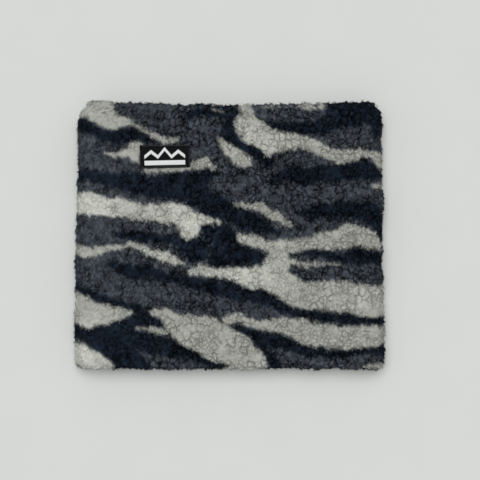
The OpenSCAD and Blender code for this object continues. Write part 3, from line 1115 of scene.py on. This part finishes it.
class GAITER_OT_patch(bpy.types.Operator):
    """Makes the woven patch with its raised border, its plain emblem and its stitches"""

    bl_idname = "gaiter.patch"
    bl_label = "Front patch"

    def ground(self, wide, high, thick):
        """The patch's woven ground, with rounded corners and a bound border."""
        piece = block((wide, high, thick), (0, 0, thick / 2))
        select_edges(piece, lambda a, b: abs(a.z - b.z) > 0.5 * thick * MM)
        bpy.ops.mesh.bevel(offset=1.4 * MM, segments=5, affect="EDGES")
        bpy.ops.mesh.select_mode(type="FACE")
        bpy.ops.mesh.select_all(action="DESELECT")
        bpy.ops.object.mode_set(mode="OBJECT")
        for face in piece.data.polygons:
            face.select = face.normal.z > 0.9
        bpy.ops.object.mode_set(mode="EDIT")
        # a bound border stands a little over the woven ground
        bpy.ops.mesh.inset(thickness=0.9 * MM)
        bpy.ops.mesh.inset(thickness=0.2 * MM)
        bpy.ops.transform.translate(value=(0, 0, -PATCH_BORDER * MM))
        bpy.ops.object.mode_set(mode="OBJECT")
        round_top(piece, thick / 2, radius=0.15, segments=2)
        return piece

    def ridge(self, wide, rise, line, thick):
        """A zigzag ridge: one end edge is drawn out along each leg, and the strip raised."""
        legs = 6
        step = wide / legs
        heights = [0, 0.68 * rise, 0, rise, 0, 0.68 * rise, 0]
        start_fresh()
        bpy.ops.mesh.primitive_plane_add(size=1, location=(0, 0, 0))
        piece = bpy.context.object
        piece.scale = (step * MM, line * MM, 1)
        bpy.ops.object.transform_apply(location=False, rotation=False, scale=True)
        select_edges(piece, lambda a, b: min(a.x, b.x) > 0)
        bpy.ops.transform.translate(value=(0, heights[1] * MM, 0))
        for low, high in zip(heights[1:], heights[2:]):
            bpy.ops.mesh.extrude_region_move(
                TRANSFORM_OT_translate={"value": (step * MM, (high - low) * MM, 0)}
            )
        bpy.ops.mesh.select_all(action="SELECT")
        bpy.ops.mesh.extrude_region_move(TRANSFORM_OT_translate={"value": (0, 0, thick * MM)})
        bpy.ops.object.mode_set(mode="OBJECT")
        piece.location.x = (0.5 - legs / 2) * step * MM
        return piece

    def execute(self, context):
        body, pile, trim, _ = settings(context)
        tube = Tube(body, pile)
        wide, high, thick = (s / MM for s in (trim.patch_width, trim.patch_height, trim.patch_thick))
        here, _ = tube.base(np.array([tube.patch_x]), np.array([tube.patch_y]), np.zeros(1))
        under = float(here[0, 2]) + PATCH_REST
        place = Matrix.Translation(Vector((tube.patch_x, tube.patch_y, under)) * MM)
        place = place @ Matrix.Rotation(math.radians(trim.patch_turn), 4, "Z")
        ground = self.ground(wide, high, thick)
        ground.matrix_world = place
        settle(ground, "woven_patch")
        damask = weave_material(
            "Woven damask", trim.patch_colour, thread_mm=0.55, roughness=0.6, depth_mm=0.12
        )
        finish_piece(ground, damask, "front_patch")

        # a plain ridge line over a bar, in thick satin stitch
        run, top = 0.8 * wide, thick - PATCH_BORDER
        ridge = self.ridge(run, 0.34 * high, 0.16 * high, MARK_THICK)
        ridge.location.y = -0.03 * high * MM
        bar = block((run, 0.2 * high, MARK_THICK), (0, 0, MARK_THICK / 2))
        bar.location.y = -0.28 * high * MM
        for piece in (ridge, bar):
            pick(piece)
            bpy.ops.object.transform_apply(location=True, rotation=False, scale=True)
            round_top(piece, MARK_THICK, radius=0.3, segments=3)
        pick(ridge, bar)
        bpy.ops.object.join()
        ridge.matrix_world = place @ Matrix.Translation(Vector((0, 0, top - 0.1)) * MM)
        settle(ridge, "patch_marks")
        ridge.data.shade_smooth()
        embroidery = weave_material(
            "White embroidery thread", trim.mark_colour, thread_mm=0.45, roughness=0.5, depth_mm=0.15
        )
        finish_piece(ridge, embroidery, "patch_emblem")

        # the patch's stitches run along the middle of its border
        run_w, run_h = wide - 1.9, high - 1.9
        places, ahead = [], []
        for side in (-1, 1):
            for x in np.arange(-run_w / 2 + 2, run_w / 2 - 1.5, PATCH_STITCH):
                places.append((x, side * run_h / 2, thick + 0.1))
                ahead.append((1, 0, 0))
            for y in np.arange(-run_h / 2 + 2, run_h / 2 - 1.5, PATCH_STITCH):
                places.append((side * run_w / 2, y, thick + 0.1))
                ahead.append((0, 1, 0))
        turn = np.array(place.to_3x3())
        places = np.array(places) @ turn.T + np.array(place.translation) / MM
        ahead = np.array(ahead, float) @ turn.T
        outward = np.tile([0.0, 0.0, 1.0], (len(places), 1))
        sew("patch_stitches", places, ahead, outward, trim,
            thread_material(trim.thread_colour), "patch_thread")
        return {"FINISHED"}


class GAITER_OT_care_tab(bpy.types.Operator):
    """Makes the blank satin care tab, a strip folded back on itself in the side seam"""

    bl_idname = "gaiter.care_tab"
    bl_label = "Care tab"

    def execute(self, context):
        _, _, trim, _ = settings(context)
        low, high = TAB_BOX
        middle = (low.z + high.z) / 2
        wide = high.y - low.y
        reach = high.x - low.x
        # the strip's edge is drawn out along one leaf, round the fold and back: each step's
        # share of the tab's reach, and its rise in mm
        route = [(0.35, 0.0), (0.35, 0.25), (0.25, 0.1), (0.05, -0.45), (-0.05, -0.45),
                 (-0.25, 0.1), (-0.35, 0.2), (-0.35, 0.0)]
        start_fresh()
        bpy.ops.mesh.primitive_plane_add(size=1, location=(0, 0, 0))
        tab = bpy.context.object
        tab.scale = (reach * route[0][0], wide, 1)
        bpy.ops.object.transform_apply(location=False, rotation=False, scale=True)
        select_edges(tab, lambda a, b: min(a.x, b.x) > 0)
        for along, up in route[1:]:
            bpy.ops.mesh.extrude_region_move(
                TRANSFORM_OT_translate={"value": (reach * along * 0.9, 0, up * MM)}
            )
        bpy.ops.object.mode_set(mode="OBJECT")
        tab.location = (low.x + reach * route[0][0] / 2, (low.y + high.y) / 2, middle + 0.4 * MM)
        settle(tab, "care_tab")
        apply_modifier(tab, "SUBSURF", levels=2, render_levels=2)
        apply_modifier(tab, "SOLIDIFY", thickness=0.2 * MM, offset=0.0)
        tab.data.shade_smooth()
        satin = weave_material(
            "Satin tape", trim.tape_colour, thread_mm=0.5, roughness=0.4, depth_mm=0.03
        )
        finish_piece(tab, satin, "care_label")
        return {"FINISHED"}


# ---------------------------------------------------------------- stage


KEY_SPREAD = 50  # how wide the key light looks from the floor, in degrees
KEY_WAY = (0.12, -0.46, -1.6)  # the way its light travels
CAMERA_PLACE = (9.4, -4.6)  # across and along the floor, in mm
SENSOR = 36  # width of the camera's sensor, in mm


class GAITER_OT_stage(bpy.types.Operator):
    """Lays a plain pale floor and sets the soft light and the camera"""

    bl_idname = "gaiter.stage"
    bl_label = "Floor, light and camera"

    def soft_key(self, strength):
        """One wide, soft light."""
        light = bpy.data.lights.new("key", "SUN")
        light.energy, light.angle = strength, math.radians(KEY_SPREAD)
        lamp = bpy.data.objects.new("key", light)
        lamp.rotation_euler = Vector(KEY_WAY).to_track_quat("-Z", "Y").to_euler()
        bpy.context.scene.collection.objects.link(lamp)

    def execute(self, context):
        stage = context.scene.gaiter_stage
        start_fresh()
        bpy.ops.mesh.primitive_plane_add(size=12, location=(0, 0, -0.0002))
        floor = bpy.context.object
        floor.name = "floor"
        floor.data.materials.append(floor_material(stage.floor_colour))
        self.soft_key(stage.key)
        world = bpy.data.worlds.new("Even studio light")
        world.use_nodes = True
        sky = world.node_tree.nodes["Background"]
        sky.inputs["Color"].default_value = (0.985, 1.0, 0.985, 1)
        sky.inputs["Strength"].default_value = stage.fill
        context.scene.world = world
        context.scene.view_settings.view_transform = "Standard"
        low, high = CAD_BOX
        camera = bpy.data.objects.new("camera", bpy.data.cameras.new("camera"))
        camera.location = (*(c * MM for c in CAMERA_PLACE), stage.camera_height)
        away = stage.camera_height - (low.z + high.z) / 2
        camera.data.sensor_width = SENSOR
        camera.data.lens = SENSOR * away / stage.view_width
        camera.data.clip_start, camera.data.clip_end = 0.01, 50
        context.scene.collection.objects.link(camera)
        context.scene.camera = camera
        return {"FINISHED"}


class GAITER_PT_panel(bpy.types.Panel):
    """Lists the sizes and colours, and a button for each group of pieces"""

    bl_label = "Neck gaiter"
    bl_idname = "GAITER_PT_panel"
    bl_space_type = "VIEW_3D"
    bl_region_type = "UI"
    bl_category = "Gaiter"

    def draw(self, context):
        for title, group in zip(("Body", "Pile", "Trim", "Stage"), settings(context)):
            box = self.layout.box()
            box.label(text=title)
            for key in group.__annotations__:
                box.prop(group, key)
        for operator in OPERATORS:
            self.layout.operator(operator.bl_idname)


GROUPS = {
    "gaiter_body": GaiterBody,
    "gaiter_pile": GaiterPile,
    "gaiter_trim": GaiterTrim,
    "gaiter_stage": GaiterStage,
}
OPERATORS = (
    GAITER_OT_stage,
    GAITER_OT_pile,
    GAITER_OT_fibres,
    GAITER_OT_lining,
    GAITER_OT_threads,
    GAITER_OT_patch,
    GAITER_OT_care_tab,
)


def register():
    for made in (*GROUPS.values(), *OPERATORS, GAITER_PT_panel):
        bpy.utils.register_class(made)
    for key, group in GROUPS.items():
        setattr(bpy.types.Scene, key, bpy.props.PointerProperty(type=group))


def unregister():
    for key in GROUPS:
        delattr(bpy.types.Scene, key)
    for made in (GAITER_PT_panel, *reversed(OPERATORS), *reversed(tuple(GROUPS.values()))):
        bpy.utils.unregister_class(made)


def main():
    register()
    bpy.ops.gaiter.stage()
    bpy.ops.gaiter.pile()
    bpy.ops.gaiter.fibres()
    bpy.ops.gaiter.lining()
    bpy.ops.gaiter.threads()
    bpy.ops.gaiter.patch()
    bpy.ops.gaiter.care_tab()


if __name__ == "__main__":
    main()
